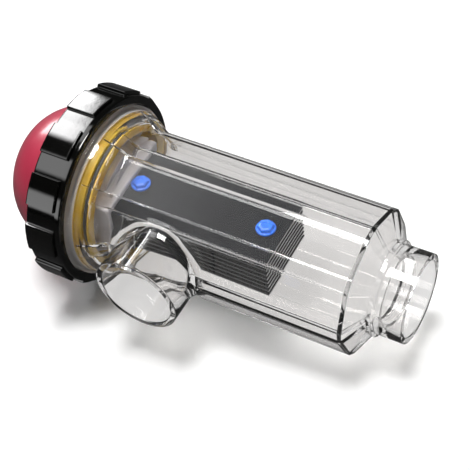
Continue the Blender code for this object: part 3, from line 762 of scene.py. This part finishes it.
def dark_titanium():
    """Dark oxide on the faces, dull metal on the long edges and bright metal on the sheared ends."""
    material, tree, shader = principled("oxide_coated_titanium", (0.022, 0.023, 0.025),
                                        Specular_IOR_Level=0.03)
    drawn = noise(tree, coordinates(tree, (2.0, 60.0, 60.0)), 6.0, 4.0)
    cloud = noise(tree, coordinates(tree), 30.0, 4.0)
    face = ramp(tree, cloud, [(0.3, (0.008, 0.0085, 0.010)), (0.7, (0.016, 0.017, 0.019))])
    facing = node(tree, "ShaderNodeNewGeometry")
    split = node(tree, "ShaderNodeSeparateXYZ")
    tree.links.new(facing.outputs["Normal"], split.inputs["Vector"])
    upright = math_node(tree, "ABSOLUTE", split.outputs["Z"])
    edge = math_node(tree, "SUBTRACT", 1.0, window(tree, upright, 0.55, 0.9, 1.2, 1.3))
    mix = node(tree, "ShaderNodeMix", data_type="RGBA")
    tree.links.new(edge, mix.inputs["Factor"])
    tree.links.new(face, mix.inputs["A"])
    end_on = math_node(tree, "ABSOLUTE", split.outputs["X"])
    tree.links.new(ramp(tree, end_on, [(0.4, (0.06, 0.06, 0.062)), (0.8, (0.5, 0.5, 0.5))]), mix.inputs["B"])
    tree.links.new(mix.outputs["Result"], shader.inputs["Base Color"])
    tree.links.new(math_node(tree, "MULTIPLY", edge, 0.6), shader.inputs["Metallic"])
    tree.links.new(spread(tree, drawn, 0.30, 0.36), shader.inputs["Roughness"])
    bump(tree, shader, drawn, 0.01, 0.0001)
    return material


def plain_plastic(name, colour, lowest, highest, grain=500.0):
    material, tree, shader = principled(name, colour)
    vector = coordinates(tree)
    cloud = noise(tree, vector, 50.0, 4.0)
    dark = tuple(c * 0.9 for c in colour)
    light = tuple(min(1.0, c * 1.08) for c in colour)
    tree.links.new(ramp(tree, cloud, [(0.3, dark), (0.7, light)]), shader.inputs["Base Color"])
    tree.links.new(spread(tree, cloud, lowest, highest), shader.inputs["Roughness"])
    bump(tree, shader, noise(tree, vector, grain, 2.0), 0.08, 0.0002)
    return material


def plain_metal(name, colour, lowest, highest):
    material, tree, shader = principled(name, colour, Metallic=1.0)
    brushed = noise(tree, coordinates(tree, (40.0, 400.0, 400.0)), 5.0, 3.0)
    tree.links.new(spread(tree, brushed, lowest, highest), shader.inputs["Roughness"])
    bump(tree, shader, brushed, 0.05, 0.0001)
    return material


CLEAR = clear_plastic()
FROSTED = frosted_plastic()
HUB = hub_plastic()
AMBER = amber_plastic()
NUT_BLACK = gloss_black()
RED = red_plastic()
TITANIUM = dark_titanium()
BLUE = plain_plastic("blue_moulding", (0.015, 0.13, 0.66), 0.12, 0.2)
WHITE = plain_plastic("white_moulding", (0.72, 0.72, 0.69), 0.35, 0.5)
RUBBER = plain_plastic("seal_rubber_black", (0.02, 0.02, 0.02), 0.45, 0.6)
GLAND_BLACK = plain_plastic("gland_black", (0.02, 0.02, 0.02), 0.3, 0.45)
STEEL = plain_metal("bright_steel", (0.6, 0.6, 0.6), 0.2, 0.35)
BRASS = plain_metal("tinned_brass", (0.62, 0.55, 0.40), 0.25, 0.4)
SLOT_MATERIALS = {"clear_shell": CLEAR, "black_nut": NUT_BLACK, "white_plastic": WHITE, "red_cap": RED,
                  "black_gland": GLAND_BLACK, "amber_head": AMBER, "seal_rubber": RUBBER,
                  "coated_titanium": TITANIUM, "blue_plastic": BLUE, "steel": STEEL, "tinned_brass": BRASS}


def paint_nodes():
    """Every CAD node that stays on show gets its slot's material."""
    for part in frame["record"]["subparts"]:
        mesh = frame["nodes"][part["node"]].data
        mesh.materials.clear()
        mesh.materials.append(SLOT_MATERIALS[part["material_slot"]])


# ---------------------------------------------------------------- studio
# Strengths of the lit cards, and where they are. Each window is start, full, end and gone along one component
# of the direction.
SOFTBOX, SOFTBOX_X, SOFTBOX_Y = 24.0, (-0.570, -0.540, -0.512, -0.495), (-0.06, 0.06, 0.80, 0.92)
VEIL, VEIL_X, VEIL_Y = 1.6, (-0.505, -0.480, -0.475, -0.345), (-0.34, -0.20, 0.80, 0.92)
CARD_Z = (0.15, 0.35, 1.0, 1.1)
EDGE_STRIPS = (math.radians(77.0), math.radians(122.0), math.radians(168.0))
EDGE_STRIP, EDGE_STRIP_THROUGH, EDGE_STRIP_X = 4.5, 1.5, (-0.60, -0.55, -0.30, -0.22)
STRIP_HALF, STRIP_HALF_SOFT = 0.15, 0.24
AMBIENT_LOW, AMBIENT_HIGH, AMBIENT_Z = 0.02, 0.03, (-0.2, 0.95, 1.1, 1.2)
AMBIENT_THROUGH_PLASTIC, LOW_DOWN_Z = 0.65, (-1.2, -1.1, 0.35, 0.60)
DEEP_RAY = 3.5
# Painted light on the floor: a glow where it is seen through clear plastic, and a painted dark where it is
# seen in gloss.
FLOOR_PAINTED_GLOW_THROUGH_PLASTIC, FLOOR_PAINTED_GLOW_SHARE = 0.75, 0.9
FLOOR_PAINTED_DARK_IN_GLOSS, FLOOR_PAINTED_DARK_SHARE = 0.05, 0.96
CAMERA_AIM, CAMERA_DISTANCE, CAMERA_LENS = (-0.1315, -0.0110, 0.0131), 0.811, 91.0
CAMERA_AZIMUTH, CAMERA_ELEVATION, CAMERA_ROLL = math.radians(35.07), math.radians(49.72), math.radians(-8.33)


def make_camera():
    """A long lens, up and to the right of the object, rolled a little clockwise."""
    data = bpy.data.cameras.new("camera")
    data.lens = CAMERA_LENS
    data.sensor_width = 36.0
    data.clip_start, data.clip_end = 0.05, 50.0
    camera = bpy.data.objects.new("camera", data)
    bpy.context.scene.collection.objects.link(camera)
    flat = math.cos(CAMERA_ELEVATION)
    back = Vector((math.sin(CAMERA_AZIMUTH) * flat, -math.cos(CAMERA_AZIMUTH) * flat,
                   math.sin(CAMERA_ELEVATION)))
    turn = (-back).to_track_quat("-Z", "Y").to_matrix() @ Matrix.Rotation(CAMERA_ROLL, 3, "Z")
    camera.matrix_world = Matrix.Translation(Vector(CAMERA_AIM) + back * CAMERA_DISTANCE) @ turn.to_4x4()
    bpy.context.scene.camera = camera


def area_light(name, aim, direction, distance, size, power):
    data = bpy.data.lights.new(name, "AREA")
    data.shape = "RECTANGLE"
    data.size, data.size_y = size
    data.energy = power
    light = bpy.data.objects.new(name, data)
    bpy.context.scene.collection.objects.link(light)
    back = Vector(direction).normalized()
    light.location = Vector(aim) + back * distance
    light.rotation_euler = back.to_track_quat("Z", "Y").to_euler()


def make_world(scene):
    """A dim room with lit cards that show only in gloss and through clear plastic."""
    world = bpy.data.worlds.new("studio")
    scene.world = world
    world.use_nodes = True
    tree = world.node_tree

    def times(first, second):
        return math_node(tree, "MULTIPLY", first, second)

    def plus(first, second):
        return math_node(tree, "ADD", first, second)

    place = node(tree, "ShaderNodeTexCoord")
    split = node(tree, "ShaderNodeSeparateXYZ")
    tree.links.new(place.outputs["Generated"], split.inputs["Vector"])
    x, y, z = split.outputs
    path = node(tree, "ShaderNodeLightPath")
    through = path.outputs["Is Transmission Ray"]

    box = times(window(tree, x, *SOFTBOX_X), window(tree, y, *SOFTBOX_Y))
    veil = times(window(tree, x, *VEIL_X), window(tree, y, *VEIL_Y))
    light = plus(times(box, SOFTBOX), times(veil, VEIL))
    light = times(light, window(tree, z, *CARD_Z))
    sweep = math_node(tree, "ARCTAN2", z, y)
    power = plus(EDGE_STRIP, times(through, EDGE_STRIP_THROUGH))
    for centre in EDGE_STRIPS:
        glint = window(tree, sweep, centre - STRIP_HALF_SOFT, centre - STRIP_HALF,
                       centre + STRIP_HALF, centre + STRIP_HALF_SOFT)
        light = plus(light, times(times(glint, window(tree, x, *EDGE_STRIP_X)), power))
    light = times(light, math_node(tree, "MAXIMUM", through, path.outputs["Is Glossy Ray"]))

    light = plus(light, AMBIENT_LOW)
    light = plus(light, times(window(tree, z, *AMBIENT_Z), AMBIENT_HIGH))
    deep = math_node(tree, "GREATER_THAN", path.outputs["Ray Depth"], DEEP_RAY)
    soft = times(math_node(tree, "MAXIMUM", deep, window(tree, z, *LOW_DOWN_Z)), through)
    light = plus(light, times(soft, AMBIENT_THROUGH_PLASTIC))
    seen = node(tree, "ShaderNodeMix", data_type="FLOAT")
    tree.links.new(path.outputs["Is Camera Ray"], seen.inputs["Factor"])
    tree.links.new(light, seen.inputs["A"])
    seen.inputs["B"].default_value = 1.0
    tree.links.new(seen.outputs["Result"], tree.nodes["Background"].inputs["Strength"])
    tree.nodes["Background"].inputs["Color"].default_value = (1.0, 1.0, 1.0, 1.0)


def make_floor():
    """A pale floor that the nut and the far shoulder rest on.

    It glows with painted light when seen through clear plastic, so no shadow shows there, and shows a painted
    dark in gloss.
    """
    slope = math.atan2(LUG_R - CORNER_R, NUT_FRONT_X - 4.0 - SHOULDER_X)
    bpy.ops.mesh.primitive_circle_add(vertices=96, radius=4.0, fill_type="NGON")
    floor = bpy.context.object
    floor.name = "floor"
    floor.rotation_euler = (0.0, slope, 0.0)
    floor.location = (NUT_FRONT_X * MM, 0.0, -(LUG_R + 0.6) * MM)
    material, tree, shader = principled("floor_white", (0.9, 0.9, 0.9), Roughness=0.75)
    path = node(tree, "ShaderNodeLightPath")
    through = path.outputs["Is Transmission Ray"]
    direct = math_node(tree, "SUBTRACT", 1.0, through)
    mirrored = math_node(tree, "MULTIPLY", path.outputs["Is Glossy Ray"], direct)
    surface = shader.outputs["BSDF"]
    # The floor's own shading gives way to a painted glow through clear plastic and to a painted dark in
    # gloss.
    for when, share, strength in ((mirrored, FLOOR_PAINTED_DARK_SHARE, FLOOR_PAINTED_DARK_IN_GLOSS),
                                  (through, FLOOR_PAINTED_GLOW_SHARE, FLOOR_PAINTED_GLOW_THROUGH_PLASTIC)):
        painted_glow = node(tree, "ShaderNodeEmission")
        painted_glow.inputs["Strength"].default_value = strength
        mix = node(tree, "ShaderNodeMixShader")
        tree.links.new(math_node(tree, "MULTIPLY", when, share), mix.inputs["Fac"])
        tree.links.new(surface, mix.inputs[1])
        tree.links.new(painted_glow.outputs["Emission"], mix.inputs[2])
        surface = mix.outputs["Shader"]
    tree.links.new(surface, tree.nodes["Material Output"].inputs["Surface"])
    floor.data.materials.append(material)


def make_studio():
    scene = bpy.context.scene
    scene.view_settings.view_transform = "Standard"
    make_world(scene)
    make_floor()
    area_light("main", (-0.13, 0.0, 0.0), (-0.11, 0.03, 0.99), 1.5, (0.52, 0.52), 28.0)
    area_light("left", (-0.26, 0.0, 0.0), (-0.80, 0.40, 0.45), 0.9, (0.3, 0.3), 3.2)


make_camera()
make_studio()
paint_nodes()
make_housing()
make_nut()
make_dome()
make_head()
make_seal()
make_bolt("plate_bolt_1")
make_bolt("plate_bolt_2")
